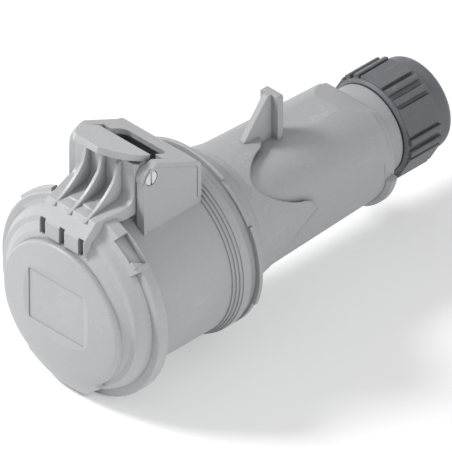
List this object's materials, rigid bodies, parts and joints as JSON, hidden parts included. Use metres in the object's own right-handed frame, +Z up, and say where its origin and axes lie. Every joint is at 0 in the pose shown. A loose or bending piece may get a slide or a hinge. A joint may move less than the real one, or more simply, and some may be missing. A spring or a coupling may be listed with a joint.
{
  "type": "industrial cable coupler",
  "caption": "Trailing industrial connector: round contact housing with a sprung hinged lid, hand grip and ribbed gland nut.",
  "frame": {"origin": "on the main axis, in the plane of the socket's mouth", "axes": "+Y along the main axis towards the cable end, +Z up towards the lid's hinge, +X to the right seen with the lid in front"},
  "size_m": [0.1152, 0.2646, 0.1501],
  "materials": {
    "housing": "fine moulded grain, light grey",
    "lid": "fine moulded grain, light grey",
    "nut": "moulded, mid grey",
    "insert": "moulded, dark grey",
    "seal": "matt black",
    "steel": "bright zinc",
    "contact": "turned, plain"
  },
  "bodies": {
    "housing": {"front_housing": "housing", "rear_housing": "housing", "hinge_pin": "steel", "lid_spring": "steel", "housing_seal": "seal", "contact_carrier": "insert", "carrier_cover": "insert", "contact_earth": "contact", "contact_neutral": "contact", "contact_line_1": "contact", "contact_line_2": "contact", "contact_line_3": "contact", "contact_pilot": "contact", "terminal_screws": "steel", "socket_springs": "steel", "cover_screws": "steel", "gland_seal": "seal", "clamp_ring": "insert"},
    "lid": {"lid_shell": "lid", "lid_gasket": "seal"},
    "thrust": {"thrust_ring": "insert"},
    "nut": {"gland_nut": "nut"}
  },
  "joints": [
    {"name": "lid_hinge", "type": "hinge", "parent": "housing", "child": "lid", "pos_m": [0, 0.0235, 0.0734], "axis": [-1, 0, 0], "range_deg": [0, 90], "stiffness_Nm_per_rad": 0.1, "springref_deg": -171.89, "deforming": ["lid_spring"]},
    {"name": "nut_travel", "type": "slide", "parent": "housing", "child": "thrust", "axis": [0, 1, 0], "range_m": [0, 0.003]},
    {"name": "nut_turn", "type": "hinge", "parent": "thrust", "child": "nut", "pos_m": [0, 0.226, 0], "axis": [0, 1, 0], "range_deg": [0, 720]}
  ],
  "couplings": [
    {"joint": "nut_travel", "follows": "nut_turn", "m_per_rad": 0.0002387}
  ]
}
